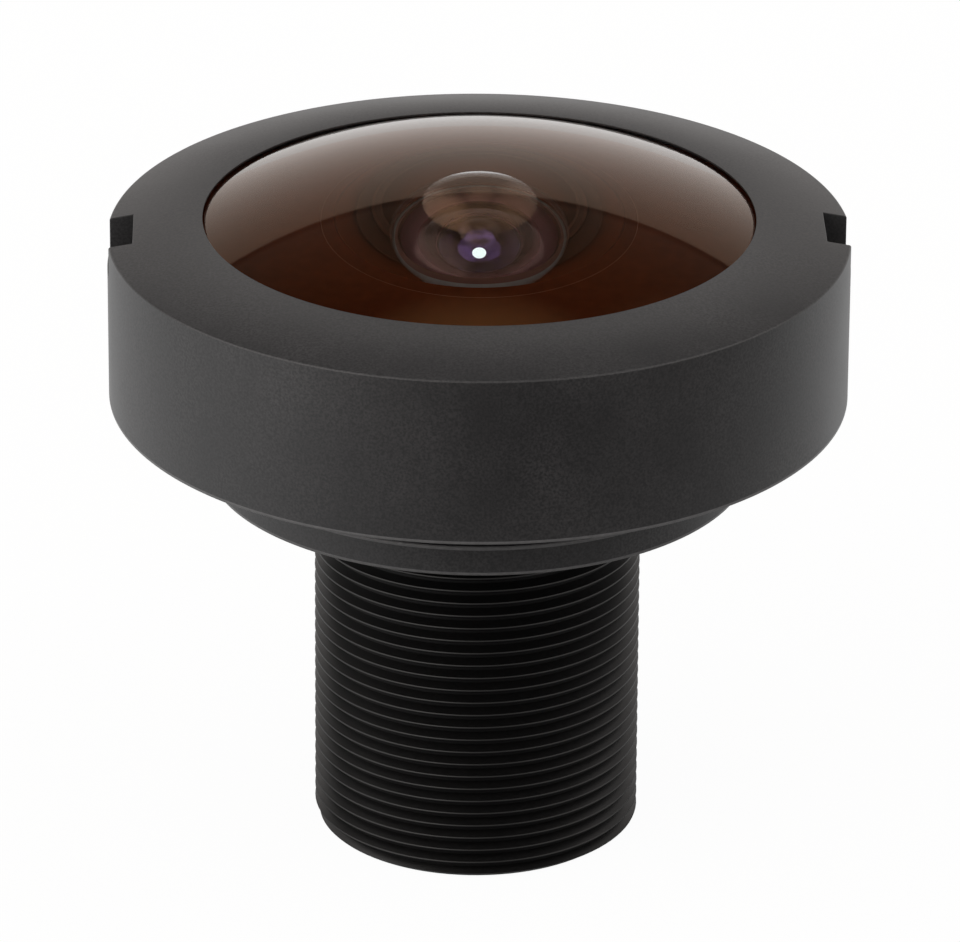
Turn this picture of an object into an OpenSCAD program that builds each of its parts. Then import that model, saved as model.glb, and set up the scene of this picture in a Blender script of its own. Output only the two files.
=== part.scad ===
// Fisheye lens with an M12 x 0.5 mounting thread, standing on its rear end.
// The optical axis is +Z, the rear end lies at Z = 0 and the spanner notches lie on the X axis.
// Every lens face is a true sphere. A hollow face is given by its rim and its depth, and the
// glass behind it moves with them. The front group hangs from the head of the barrel, the rear
// group stands on the rear lip, and the stop tube fills the length between the two.

/* [Overall] */
// Length of the whole lens, from the rear end to the top of the dome
lens_len = 25.98; // [25:0.02:36]
// Diameter of the front ring, the widest piece
ring_d = 27; // [23:0.1:36]

/* [Mounting thread and flange] */
// Major diameter of the mounting thread, which runs up to the flange
thread_d = 12; // [11.6:0.1:14]
// Chamfer at the rear end of the mounting thread
thread_chamfer = 0.2; // [0.1:0.05:0.4]
// Diameter of the flange under the front ring
flange_d = 19.9; // [17:0.1:23]
// Thickness of the flange
flange_t = 1.15; // [0.8:0.05:3]
// Chamfer on the two edges of the flange
flange_chamfer = 0.05; // [0.03:0.01:0.3]
// Diameter of the neck between the flange and the front ring
neck_d = 18; // [15:0.1:21]
// Length of the neck
neck_len = 1.71; // [1:0.01:3]
// Length of the threaded head that the front ring screws onto
head_len = 3.72; // [3:0.02:6]
// Chamfer on the front edge of the head
head_chamfer = 0.25; // [0.1:0.05:0.5]

/* [Front ring] */
// Wall of the ring outside its thread
ring_wall = 1.25; // [1:0.05:3]
// Width of the step between the thread and the glass bore of the ring
ring_step = 0.95; // [0.6:0.05:2]
// Width of the lip over the polished edge of the glass
lip_cover = 0.26; // [0.2:0.01:0.8]
// Height of the opening's edge above the glass beside it
lip_proud = 0.15; // [0.12:0.01:0.6]
// Gap between the lip and the glass under it
lip_gap = 0.06; // [0.04:0.01:0.15]
// Rise of the sloped front face, from the outer edge to the opening
face_rise = 0.63; // [0.2:0.01:1.5]
// Room between the step and the head, so that the ring clamps the glass
clamp_room = 0.15; // [0.1:0.05:0.4]
// Chamfer on the two outer edges of the ring
ring_chamfer = 0.05; // [0.03:0.01:0.4]
// Width of a spanner notch
notch_w = 2.7; // [1.5:0.1:4]
// Depth of a spanner notch, towards the axis
notch_depth = 0.94; // [0.5:0.02:1.1]
// Height of a spanner notch, down from the outer edge
notch_h = 1.2; // [0.6:0.1:2.5]
// Number of spanner notches
notch_count = 2; // [2:1:6]
// Thickness of the slip washer between the ring and the glass
washer_t = 0.1; // [0.05:0.01:0.2]

/* [Front element] */
// Radius of the front dome
dome_r = 23.5; // [16:0.05:32]
// Thickness of the glass on the axis
front_t = 1.61; // [1:0.01:4]
// Diameter of the polished hollow in the back
front_hollow_d = 9.15; // [7:0.05:11]
// Depth of the polished hollow in the back
front_hollow_h = 3.49; // [2:0.01:4.2]
// Width of the ground bevel round the hollow
hollow_bevel_w = 0.38; // [0.1:0.01:0.8]
// Height of the ground bevel round the hollow
hollow_bevel_h = 0.2; // [0.05:0.01:0.6]
// Width of the ground step at the edge, which the ring holds
rim_w = 0.9; // [0.6:0.05:2]
// Height of the ground step at the edge
rim_drop = 0.45; // [0.2:0.05:0.8]
// Bevel on the back edge
front_bevel = 0.2; // [0.05:0.05:0.4]

/* [Seal] */
// Thickness of the seal's cord
seal_d = 0.8; // [0.6:0.05:1.2]
// Squeeze of the seal between its groove and the glass
seal_squeeze = 0.15; // [0.05:0.01:0.25]
// Room beside the seal in its groove
seal_room = 0.15; // [0.05:0.01:0.3]

/* [Second element] */
// Radius of the front face
second_front_r = 12.5; // [9:0.5:30]
// Thickness of the glass on the axis
second_t = 1; // [0.6:0.05:2]
// Diameter of the hollow in the back
second_hollow_d = 6.4; // [4:0.1:7.4]
// Depth of the hollow in the back
second_hollow_h = 2.21; // [1:0.01:2.6]
// Width of the spacer between the first two elements
front_spacer_w = 1.81; // [0.8:0.01:2.4]
// Reach of that spacer inside the rim of the front hollow
spacer_reach = 0.37; // [0.1:0.01:0.8]
// Height of that spacer
front_spacer_h = 0.47; // [0.3:0.01:1.4]
// Thickness of the light shield under the second element
shield_t = 0.08; // [0.04:0.01:0.2]

/* [Inner elements] */
// Diameter of the inner elements and their spacers
inner_d = 9; // [7:0.1:9.6]
// Width of the seats that hold them by their edges
seat_w = 0.9; // [0.5:0.05:1.2]
// Thickness of an inner element at its edge
edge_t = 0.5; // [0.3:0.05:1]
// Bevel on the edges of the second element and the inner elements
edge_bevel = 0.1; // [0.05:0.01:0.14]
// Radius of the third element's front face
third_front_r = 11.7; // [7:0.1:30]
// Radius of the third element's back face
third_back_r = 6.8; // [6:0.1:30]
// Radius of the fourth element's front face
fourth_front_r = 20; // [7:0.1:40]
// Radius of the fourth element's back face
fourth_back_r = 16; // [7:0.1:40]
// Radius of the doublet's front face
crown_front_r = 11; // [7:0.1:30]
// Radius of the cemented face inside the doublet
cement_r = 8; // [6:0.1:20]
// Radius of the doublet's back face
flint_back_r = 20; // [10:0.1:40]
// Thickness of the doublet's rear glass on the axis
flint_t = 0.8; // [0.5:0.05:2]
// Radius of the rear element's front face
rear_front_r = 9; // [7:0.1:30]
// Radius of the rear element's back face
rear_back_r = 24; // [10:0.1:40]

/* [Stack] */
// Height of the threaded ring that locks the inner stack
retainer_t = 1; // [0.8:0.05:2]
// Width of that ring's thread outside the bore
retainer_step = 0.3; // [0.15:0.05:0.5]
// Depth of that ring below the second element's seat
retainer_inset = 0.1; // [0.05:0.05:0.5]
// Width of the two tool slots in that ring
retainer_slot_w = 0.8; // [0.5:0.05:1.5]
// Depth of the two tool slots in that ring
retainer_slot_h = 0.5; // [0.2:0.05:0.7]
// Air between the third element and the aperture plate
stop_air = 1.3; // [0.3:0.05:1.5]
// Diameter of the aperture
aperture_d = 0.9; // [0.6:0.05:3]
// Thickness of the aperture plate
aperture_t = 0.1; // [0.05:0.01:0.3]
// Wall of the stop tube at its narrow end
stop_tube_wall = 2.2; // [1:0.1:3]
// Air between the fourth element and the doublet
mid_air = 0.3; // [0.1:0.05:1.5]
// Air between the doublet and the rear element
rear_air = 0.4; // [0.1:0.05:1.5]

/* [Rear end] */
// Depth of the filter's back face inside the rear end
filter_inset = 0.6; // [0.3:0.05:1.5]
// Diameter of the infrared filter
filter_d = 8.4; // [7:0.1:9.6]
// Thickness of the infrared filter
filter_t = 0.5; // [0.3:0.05:1]
// Thickness of the lip between the filter and the rear element
lip_t = 0.6; // [0.5:0.05:1.5]
// Width of that lip
lip_w = 1.1; // [0.6:0.05:1.5]

/* [Fits] */
// Radial clearance of glass and spacers in their bores
cell_clear = 0.03; // [0.01:0.01:0.06]
// Radial clearance of the front ring over the glass and the head
ring_clear = 0.05; // [0.02:0.01:0.1]

/* [Hidden] */
$fn = 128;
// Overshoot of a cutting shape past the face that it opens
cut = 1;

// Depth of a spherical face of radius r at distance x from the axis
function sag(r, x) = r - sqrt(r * r - x * x);
// Depth of the bevel's lower edge below a blank that overshoots a face of radius r
function edge_depth(r, x) = cut + sag(r, x) + edge_bevel;
// Radius of a spherical hollow from its rim radius and depth
function hollow_r(x, h) = (x * x + h * h) / (2 * h);

// Heights along the axis, from the dome down to the flange
apex_z = lens_len;
hollow_top_z = apex_z - front_t;
hollow_rim_z = hollow_top_z - front_hollow_h;
face_z = hollow_rim_z - hollow_bevel_h;
head_z = face_z - head_len;
neck_z = head_z - neck_len;
flange_z = neck_z - flange_t;

// Radii of the front end, from the ring in to the opening
ring_r = ring_d / 2;
ring_thread_r = ring_r - ring_wall;
head_r = ring_thread_r - ring_clear;
glass_bore_r = head_r - ring_step;
front_r = glass_bore_r - ring_clear;
rim_r = front_r - rim_w;
lip_bore_r = rim_r + ring_clear;
opening_r = rim_r - lip_cover;

// Front element
front_hollow_rim = front_hollow_d / 2;
front_hollow_radius = hollow_r(front_hollow_rim, front_hollow_h);
bevel_r = front_hollow_rim + hollow_bevel_w;
rim_z = apex_z - sag(dome_r, rim_r) - rim_drop;

// Front ring
clamp_z = rim_z + washer_t;
opening_z = apex_z - sag(dome_r, opening_r) + lip_proud;
ring_top_z = opening_z - face_rise;
step_z = face_z + clamp_room;

// Second element and its spacer
front_spacer_r = front_hollow_rim - spacer_reach;
second_r = front_spacer_r + front_spacer_w;
second_bore_r = second_r + cell_clear;
front_spacer_z = face_z - front_spacer_h;
second_top_z = front_spacer_z + sag(second_front_r, front_spacer_r);
second_hollow_rim = second_hollow_d / 2;
second_hollow_radius = hollow_r(second_hollow_rim, second_hollow_h);
second_hollow_top_z = second_top_z - second_t;
second_z = second_hollow_top_z - second_hollow_h;
seat_z = second_z - shield_t;

// Seal groove in the front face of the head, midway under the glass
groove_w = seal_d + seal_room;
groove_h = seal_d - seal_squeeze;
seal_r = (second_bore_r + front_r) / 2;
seal_z = face_z - groove_h / 2;

// Bores of the barrel
inner_r = inner_d / 2;
inner_bore_r = inner_r + cell_clear;
seat_r = inner_r - seat_w;
retainer_bore_r = inner_bore_r + retainer_step;
retainer_r = retainer_bore_r - cell_clear;
filter_r = filter_d / 2;
filter_bore_r = filter_r + cell_clear;
filter_top_z = filter_inset + filter_t;
lip_z = filter_top_z + lip_t;
lip_r = inner_bore_r - lip_w;

// Front group, counted down from the second element's seat
retainer_top_z = seat_z - retainer_inset;
retainer_z = retainer_top_z - retainer_t;
third_top_z = retainer_z + sag(third_front_r, seat_r);
third_t = edge_t + sag(third_front_r, inner_r) + sag(third_back_r, inner_r);
third_z = third_top_z - third_t;
stop_spacer_top_z = third_z + sag(third_back_r, seat_r);
stop_top_z = third_z - stop_air;
stop_z = stop_top_z - aperture_t;

// Rear group, counted up from the rear lip
rear_z = lip_z - sag(rear_back_r, lip_r);
rear_t = edge_t + sag(rear_front_r, inner_r) + sag(rear_back_r, inner_r);
rear_top_z = rear_z + rear_t;
rear_spacer_z = rear_top_z - sag(rear_front_r, seat_r);
flint_z = rear_top_z + rear_air;
rear_spacer_top_z = flint_z + sag(flint_back_r, seat_r);
cement_z = flint_z + flint_t;
cement_edge_z = cement_z + sag(cement_r, inner_r);
crown_t = edge_t + sag(crown_front_r, inner_r) + sag(cement_r, inner_r);
crown_top_z = cement_z + crown_t;
mid_spacer_z = crown_top_z - sag(crown_front_r, seat_r);
fourth_z = crown_top_z + mid_air;
mid_spacer_top_z = fourth_z + sag(fourth_back_r, seat_r);
fourth_t = edge_t + sag(fourth_front_r, inner_r) + sag(fourth_back_r, inner_r);
fourth_top_z = fourth_z + fourth_t;
tube_z = fourth_top_z - sag(fourth_front_r, seat_r);

// Colours of the pieces as they look
anodised = "#2e2e30";
anodised_thread = "#161617";
blackened = "#1b1b1c";
rubber = "#101010";
film = "#3a3a38";
front_glass = [0.30, 0.18, 0.12, 0.45];
inner_glass = [0.42, 0.36, 0.52, 0.45];
filter_glass = [0.45, 0.75, 0.72, 0.5];

// Ball that bulges forward to the height z
module ball_under(z, r) {
    translate([0, 0, z - r])
        sphere(r = r);
}

// Ball that bulges backward to the height z
module ball_over(z, r) {
    translate([0, 0, z + r])
        sphere(r = r);
}

// Cylinder between two heights
module post(r, z0, z1) {
    translate([0, 0, z0])
        cylinder(r = r, h = z1 - z0);
}

// Tube between two heights
module tube(r_out, r_in, z0, z1) {
    difference() {
        post(r_out, z0, z1);
        post(r_in, z0 - cut, z1 + cut);
    }
}

// Round blank whose edge is bevelled to the given depths below its top and above its bottom
module blank(r, z0, z1, top, bottom) {
    rotate_extrude()
        polygon([
            [0, z0],
            [r - bottom, z0],
            [r, z0 + bottom],
            [r, z1 - top],
            [r - top, z1],
            [0, z1]
        ]);
}

// Element that bulges on both faces
module biconvex(r, z, t, front, back) {
    intersection() {
        blank(r, z - cut, z + t + cut, edge_depth(front, r), edge_depth(back, r));
        ball_under(z + t, front);
        ball_over(z, back);
    }
}

// One turned piece: threaded tube, flange and head, with the bores that hold the optics
module barrel() {
    color(anodised_thread)
        difference() {
            barrel_outside();
            barrel_bores();
            seal_groove();
        }
}

module barrel_outside() {
    thread_r = thread_d / 2;
    flange_r = flange_d / 2;
    neck_r = neck_d / 2;
    rotate_extrude()
        polygon([
            [0, 0],
            [thread_r - thread_chamfer, 0],
            [thread_r, thread_chamfer],
            [thread_r, flange_z],
            [flange_r - flange_chamfer, flange_z],
            [flange_r, flange_z + flange_chamfer],
            [flange_r, neck_z - flange_chamfer],
            [flange_r - flange_chamfer, neck_z],
            [neck_r, neck_z],
            [neck_r, head_z],
            [head_r, head_z],
            [head_r, face_z - head_chamfer],
            [head_r - head_chamfer, face_z],
            [0, face_z]
        ]);
}

module barrel_bores() {
    post(filter_bore_r, -cut, filter_top_z);
    post(lip_r, filter_top_z - cut, lip_z + cut);
    post(inner_bore_r, lip_z, seat_z);
    post(retainer_bore_r, retainer_z, seat_z + cut);
    post(second_bore_r, seat_z, face_z + cut);
}

module seal_groove() {
    tube(seal_r + groove_w / 2, seal_r - groove_w / 2, face_z - groove_h, face_z + cut);
}

// Ring that screws over the head and holds the front element by its ground step
module front_ring() {
    color(anodised)
        difference() {
            front_ring_body();
            lip_hollow();
            spanner_notches();
        }
}

module front_ring_body() {
    rotate_extrude()
        polygon([
            [ring_thread_r, head_z],
            [ring_r - ring_chamfer, head_z],
            [ring_r, head_z + ring_chamfer],
            [ring_r, ring_top_z - ring_chamfer],
            [ring_r - ring_chamfer, ring_top_z],
            [opening_r, opening_z],
            [opening_r, clamp_z],
            [glass_bore_r, clamp_z],
            [glass_bore_r, step_z],
            [ring_thread_r, step_z]
        ]);
}

// Hollow under the lip, which follows the dome at an even gap
module lip_hollow() {
    intersection() {
        ball_under(apex_z + lip_gap, dome_r + lip_gap);
        post(lip_bore_r, clamp_z - cut, opening_z + cut);
    }
}

module spanner_notches() {
    for (i = [0 : notch_count - 1])
        rotate([0, 0, i * 360 / notch_count])
            translate([ring_r - notch_depth, -notch_w / 2, ring_top_z - notch_h])
                cube([notch_depth + cut, notch_w, notch_h + face_rise + cut]);
}

// Thin ring that lets the front ring turn without dragging the glass round
module slip_washer() {
    color(film)
        tube(front_r, lip_bore_r + ring_clear, rim_z, clamp_z);
}

// Deep meniscus with the dome in front, a bevelled hollow behind and a ground step at its edge
module front_element() {
    color(front_glass)
        difference() {
            intersection() {
                front_blank();
                ball_under(apex_z, dome_r);
            }
            ball_under(hollow_top_z, front_hollow_radius);
            hollow_bevel();
        }
}

module front_blank() {
    rotate_extrude()
        polygon([
            [0, face_z],
            [front_r - front_bevel, face_z],
            [front_r, face_z + front_bevel],
            [front_r, rim_z],
            [rim_r, rim_z],
            [rim_r, apex_z + cut],
            [0, apex_z + cut]
        ]);
}

// Cone of the ground bevel, drawn out past both of its ends
module hollow_bevel() {
    rotate_extrude()
        polygon([
            [0, face_z - hollow_bevel_h],
            [bevel_r + hollow_bevel_w, face_z - hollow_bevel_h],
            [front_hollow_rim - hollow_bevel_w, hollow_rim_z + hollow_bevel_h],
            [0, hollow_rim_z + hollow_bevel_h]
        ]);
}

// Rubber ring, squeezed flat between the groove's floor and the glass
module o_ring_seal() {
    color(rubber)
        rotate_extrude()
            translate([seal_r, seal_z])
                intersection() {
                    circle(d = seal_d);
                    square([groove_w, groove_h], center = true);
                }
}

module front_spacer() {
    color(blackened)
        tube(second_r, front_spacer_r, front_spacer_z, face_z);
}

// Meniscus with a steep hollow behind
module second_element() {
    color(inner_glass)
        difference() {
            intersection() {
                blank(second_r, second_z, second_top_z + cut, edge_depth(second_front_r, second_r), edge_bevel);
                ball_under(second_top_z, second_front_r);
            }
            ball_under(second_hollow_top_z, second_hollow_radius);
        }
}

module light_shield() {
    color(blackened)
        tube(second_r, second_hollow_rim, seat_z, second_z);
}

// Threaded ring with two tool slots
module stack_retainer() {
    color(blackened)
        difference() {
            tube(retainer_r, seat_r, retainer_z, retainer_top_z);
            translate([0, 0, retainer_top_z - retainer_slot_h / 2 + cut / 2])
                cube([2 * retainer_r + cut, retainer_slot_w, retainer_slot_h + cut], center = true);
        }
}

module third_element() {
    color(inner_glass)
        biconvex(inner_r, third_z, third_t, third_front_r, third_back_r);
}

// Tube from the fourth element to the aperture, with a bore that narrows towards the aperture
module stop_tube() {
    color(blackened)
        rotate_extrude()
            polygon([
                [seat_r, tube_z],
                [inner_r, tube_z],
                [inner_r, stop_z],
                [inner_r - stop_tube_wall, stop_z]
            ]);
}

module aperture_stop() {
    color(blackened)
        tube(inner_r, aperture_d / 2, stop_z, stop_top_z);
}

module stop_spacer() {
    color(blackened)
        tube(inner_r, seat_r, stop_top_z, stop_spacer_top_z);
}

module fourth_element() {
    color(inner_glass)
        biconvex(inner_r, fourth_z, fourth_t, fourth_front_r, fourth_back_r);
}

module mid_spacer() {
    color(blackened)
        tube(inner_r, seat_r, mid_spacer_z, mid_spacer_top_z);
}

// Front half of the cemented pair
module doublet_crown() {
    color(inner_glass)
        biconvex(inner_r, cement_z, crown_t, crown_front_r, cement_r);
}

// Rear half of the cemented pair, hollowed by the face that it shares with the front half
module doublet_flint() {
    color(inner_glass)
        difference() {
            intersection() {
                blank(inner_r, flint_z - cut, cement_edge_z, edge_bevel, edge_depth(flint_back_r, inner_r));
                ball_over(flint_z, flint_back_r);
            }
            ball_over(cement_z, cement_r);
        }
}

module rear_spacer() {
    color(blackened)
        tube(inner_r, seat_r, rear_spacer_z, rear_spacer_top_z);
}

module rear_element() {
    color(inner_glass)
        biconvex(inner_r, rear_z, rear_t, rear_front_r, rear_back_r);
}

// Round plate bonded against the rear lip
module ir_cut_filter() {
    color(filter_glass)
        post(filter_r, filter_inset, filter_top_z);
}

barrel();
front_ring();
slip_washer();
front_element();
o_ring_seal();
front_spacer();
second_element();
light_shield();
stack_retainer();
third_element();
stop_tube();
aperture_stop();
stop_spacer();
fourth_element();
mid_spacer();
doublet_crown();
doublet_flint();
rear_spacer();
rear_element();
ir_cut_filter();
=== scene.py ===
# %% [markdown]
# # A small fisheye lens, dressed over its solids
# The lens stands on its rear end with the glass dome up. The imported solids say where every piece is
# and how big it is. This script adds what they leave out: cut threads, softened edges, glass that
# bends light, the lacquered and anodised finishes, and a plain studio round the lens.

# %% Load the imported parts
import math

import bmesh
import bpy
from mathutils import Matrix, Vector


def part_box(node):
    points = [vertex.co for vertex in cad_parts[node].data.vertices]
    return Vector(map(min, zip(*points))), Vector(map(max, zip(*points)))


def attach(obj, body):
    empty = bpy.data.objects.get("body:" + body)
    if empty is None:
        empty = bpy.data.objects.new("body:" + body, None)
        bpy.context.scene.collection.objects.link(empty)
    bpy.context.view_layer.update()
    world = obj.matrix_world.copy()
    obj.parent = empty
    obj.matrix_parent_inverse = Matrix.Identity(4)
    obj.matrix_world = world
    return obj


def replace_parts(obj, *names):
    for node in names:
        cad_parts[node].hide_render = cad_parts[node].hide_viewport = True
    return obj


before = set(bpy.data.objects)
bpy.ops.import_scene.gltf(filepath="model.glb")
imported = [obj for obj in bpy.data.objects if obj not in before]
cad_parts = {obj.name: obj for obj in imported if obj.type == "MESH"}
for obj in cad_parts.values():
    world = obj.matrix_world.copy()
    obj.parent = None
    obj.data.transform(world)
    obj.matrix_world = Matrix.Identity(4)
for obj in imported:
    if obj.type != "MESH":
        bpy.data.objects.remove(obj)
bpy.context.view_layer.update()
MM = 0.001

# %% [markdown]
# ## Camera
# A lens this small is photographed from a good distance with a long focal length, so its circles
# stay even ellipses. The ellipses of the rings give the height of the view, about 24 degrees, and
# the two notches give a small turn to the left. The camera is aimed at a point on the optical axis.

# %% Camera
ELEVATION = math.radians(24.4)
AZIMUTH = math.radians(-1.4)
ROLL = math.radians(0.37)
DISTANCE = 310.64 * MM
FOCAL_LENGTH = 317

aim = Vector((0.08, 0, 13.71)) * MM
backwards = Vector((
    math.sin(AZIMUTH) * math.cos(ELEVATION),
    -math.cos(AZIMUTH) * math.cos(ELEVATION),
    math.sin(ELEVATION),
))
camera_data = bpy.data.cameras.new("camera")
camera_data.lens = FOCAL_LENGTH
camera_data.clip_start = 10 * MM
camera = bpy.data.objects.new("camera", camera_data)
camera.matrix_world = (
    Matrix.Translation(aim + backwards * DISTANCE)
    @ (-backwards).to_track_quat("-Z", "Y").to_matrix().to_4x4()
    @ Matrix.Rotation(ROLL, 4, "Z")
)
bpy.context.scene.collection.objects.link(camera)
bpy.context.scene.camera = camera
print("camera at, in mm:", [round(side / MM, 1) for side in camera.location])

# %% [markdown]
# ## Colours and nodes
# Colours are written as the eye reads them, in sRGB hex, and Blender mixes them in linear light, so
# one function turns the first into the second. One more adds a shader node with its settings, its
# values and its links, which keeps every material below short enough to read.

# %% Colours and nodes
def colour(hex_code):
    """An sRGB hex colour as the linear RGBA that shaders take."""
    parts = [int(hex_code[i:i + 2], 16) / 255 for i in (1, 3, 5)]
    return [p / 12.92 if p <= 0.04045 else ((p + 0.055) / 1.055) ** 2.4 for p in parts] + [1]


def add(tree, kind, settings=(), inputs=()):
    """Adds one shader node. An input is a plain value, or an output of another node."""
    made = tree.nodes.new("ShaderNode" + kind)
    for name, value in dict(settings).items():
        setattr(made, name, value)
    for name, value in dict(inputs).items():
        if isinstance(value, bpy.types.NodeSocket):
            tree.links.new(value, made.inputs[name])
        else:
            made.inputs[name].default_value = value
    return made


def start_finish(name, constants):
    """A new material with constants on its Principled shader, and its Object coordinates."""
    material = bpy.data.materials.new(name)
    material.use_nodes = True
    tree = material.node_tree
    shader = tree.nodes["Principled BSDF"]
    for socket, value in constants.items():
        shader.inputs[socket].default_value = value
    return material, tree, shader, add(tree, "TexCoord").outputs["Object"]


def per_mm(size):
    """Texture scale at which one cell of a pattern is this many millimetres wide."""
    return 1 / (size * MM)


print("mid grey in linear light:", [round(part, 4) for part in colour("#808080")])

# %% [markdown]
# ## Turning on a lathe
# Nearly every piece of a lens is turned, so one outline and one spin make it. The outline is drawn
# in the XZ plane: straight lines are extruded from vertex to vertex, and the faces of the glass are
# arcs, spun round a centre on the optical axis. A box or cylinder cut to shape would leave facets,
# and light bent by glass shows every facet.

# %% Outline and lathe
ARC_STEP = math.radians(0.9)
FEWEST_ARC_STEPS = 12
WELD = 1e-7
SHARP = math.radians(25)


def draw(bm, path):
    """Draws an outline from points of radius and height, in mm. A third number makes the way to a
    point an arc round that height on the axis."""
    tip = bm.verts.new((path[0][0] * MM, 0, path[0][1] * MM))
    for r, z, *centre in path[1:]:
        if centre:
            middle = centre[0] * MM
            turn_by = math.atan2(r, z - centre[0]) - math.atan2(tip.co.x, tip.co.z - middle)
            swept = bmesh.ops.spin(
                bm, geom=[tip], cent=(0, 0, middle), axis=(0, 1, 0), angle=turn_by,
                steps=max(FEWEST_ARC_STEPS, round(abs(turn_by) / ARC_STEP)),
            )
            tip = swept["geom_last"][0]
        else:
            tip = bmesh.ops.extrude_vert_indiv(bm, verts=[tip])["verts"][0]
            tip.co = (r * MM, 0, z * MM)


def turn(path, segments=192, soften=0.0):
    """Spins an outline once round the axis, and rounds its sharp edges by a few hundredths."""
    bm = bmesh.new()
    draw(bm, path)
    bmesh.ops.remove_doubles(bm, verts=bm.verts, dist=WELD)
    bmesh.ops.spin(
        bm, geom=bm.verts[:] + bm.edges[:], cent=(0, 0, 0), axis=(0, 0, 1),
        angle=2 * math.pi, steps=segments, use_merge=True,
    )
    bmesh.ops.remove_doubles(bm, verts=bm.verts, dist=WELD)
    bmesh.ops.recalc_face_normals(bm, faces=bm.faces)
    if soften:
        soften_edges(bm, bm.edges, soften)
    return bm


def soften_edges(bm, edges, width):
    """Bevels the edges that turn sharply, so that they catch a line of light."""
    sharp = [e for e in edges if len(e.link_faces) == 2 and e.calc_face_angle() > SHARP]
    bmesh.ops.bevel(
        bm, geom=sharp, offset=width * MM, offset_type="OFFSET", segments=2,
        profile=0.5, affect="EDGES", material=-1, clamp_overlap=True,
    )


def keep(bm, name, body, materials):
    """Makes a finished bmesh an object that rides on a body."""
    mesh = bpy.data.meshes.new(name)
    bm.to_mesh(mesh)
    bm.free()
    for polygon in mesh.polygons:
        polygon.use_smooth = True
    mesh.set_sharp_from_angle(angle=SHARP)
    for material in materials:
        mesh.materials.append(material)
    piece = bpy.data.objects.new(name, mesh)
    bpy.context.scene.collection.objects.link(piece)
    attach(piece, body)
    print(f"{name}: {len(mesh.polygons)} faces")
    return piece


def span(node):
    """Radius, bottom and top of a turned CAD piece, in mm."""
    low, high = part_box(node)
    return high.x / MM, low.z / MM, high.z / MM


print("front element, radius and heights in mm:",
      [round(size, 3) for size in span("front_element")])

# %% [markdown]
# ## Black anodised aluminium
# The barrel and the ring are turned aluminium, anodised and dyed black. The oxide layer is a clear
# dyed skin, so it reads as a dark body under a dull gloss and not as bare metal. The ring and the
# flange were blasted with fine grit first: their grain is a fine noise in the bump and in the
# colour. The tube was left as turned, so it is nearly black, shinier, and has faint rings from the
# tool. Thin strips along the flange's edges and the ring's lower edge get a lighter finish of their
# own: a painted highlight, a pale line where the bevelled edges catch the light.

# %% Black anodised aluminium
def blasted_anodised():
    """Satin dark grey with a fine grain, which keeps it from looking like plastic. Real blasting
    grain is about 0.05 mm, drawn at 0.09 mm to show."""
    material, tree, shader, place = start_finish(
        "anodised_aluminium_blasted", {"IOR": 1.6, "Metallic": 0.0})
    grain = add(tree, "TexNoise", inputs={"Vector": place, "Scale": per_mm(0.09), "Detail": 2.0})
    cloud = add(tree, "TexNoise", inputs={"Vector": place, "Scale": per_mm(3.0), "Detail": 3.0})
    pits = add(tree, "MapRange", inputs={
        "Value": grain.outputs["Fac"], "From Min": 0.35, "From Max": 0.65})
    both = add(tree, "Math", {"operation": "MULTIPLY"}, {
        0: pits.outputs["Result"], 1: cloud.outputs["Fac"]})
    shade = add(tree, "Mix", {"data_type": "RGBA"}, {
        "Factor": both.outputs["Value"], "A": colour("#2b2b2c"), "B": colour("#4d4c4d")})
    sheen = add(tree, "MapRange", inputs={
        "Value": cloud.outputs["Fac"], "To Min": 0.34, "To Max": 0.44})
    bump = add(tree, "Bump", inputs={
        "Height": grain.outputs["Fac"], "Strength": 0.5, "Distance": 0.004 * MM})
    tree.links.new(shade.outputs["Result"], shader.inputs["Base Color"])
    tree.links.new(sheen.outputs["Result"], shader.inputs["Roughness"])
    tree.links.new(bump.outputs["Normal"], shader.inputs["Normal"])
    return material


def turned_anodised():
    """Deep black with faint tool rings. A fine cut leaves about 0.1 mm between rings."""
    material, tree, shader, place = start_finish(
        "anodised_aluminium_turned", {"IOR": 1.6, "Metallic": 0.0})
    rings = add(tree, "TexWave", {"bands_direction": "Z"}, {
        "Vector": place, "Scale": per_mm(0.1) / 20, "Distortion": 0.6, "Detail": 1.0})
    speckle = add(tree, "TexNoise", inputs={"Vector": place, "Scale": per_mm(0.15), "Detail": 2.0})
    shade = add(tree, "Mix", {"data_type": "RGBA"}, {
        "Factor": speckle.outputs["Fac"], "A": colour("#020202"), "B": colour("#050404")})
    sheen = add(tree, "MapRange", inputs={
        "Value": speckle.outputs["Fac"], "To Min": 0.3, "To Max": 0.42})
    bump = add(tree, "Bump", inputs={
        "Height": rings.outputs["Fac"], "Strength": 0.15, "Distance": 0.002 * MM})
    tree.links.new(shade.outputs["Result"], shader.inputs["Base Color"])
    tree.links.new(sheen.outputs["Result"], shader.inputs["Roughness"])
    tree.links.new(bump.outputs["Normal"], shader.inputs["Normal"])
    return material


def painted_highlight_anodised():
    """Painted highlight for the edges of the blasted pieces: lighter and smoother, in spots about
    0.2 mm wide, a thin pale line round the flange and the ring where their edges catch light."""
    material, tree, shader, place = start_finish(
        "anodised_aluminium_painted_highlight", {"IOR": 1.6, "Metallic": 0.0})
    highlight_spots = add(tree, "TexNoise", inputs={"Vector": place, "Scale": per_mm(0.2), "Detail": 2.0})
    shade = add(tree, "Mix", {"data_type": "RGBA"}, {
        "Factor": highlight_spots.outputs["Fac"], "A": colour("#5a5a5b"), "B": colour("#7a7a7b")})
    sheen = add(tree, "MapRange", inputs={
        "Value": highlight_spots.outputs["Fac"], "To Min": 0.3, "To Max": 0.4})
    tree.links.new(shade.outputs["Result"], shader.inputs["Base Color"])
    tree.links.new(sheen.outputs["Result"], shader.inputs["Roughness"])
    return material


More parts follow.
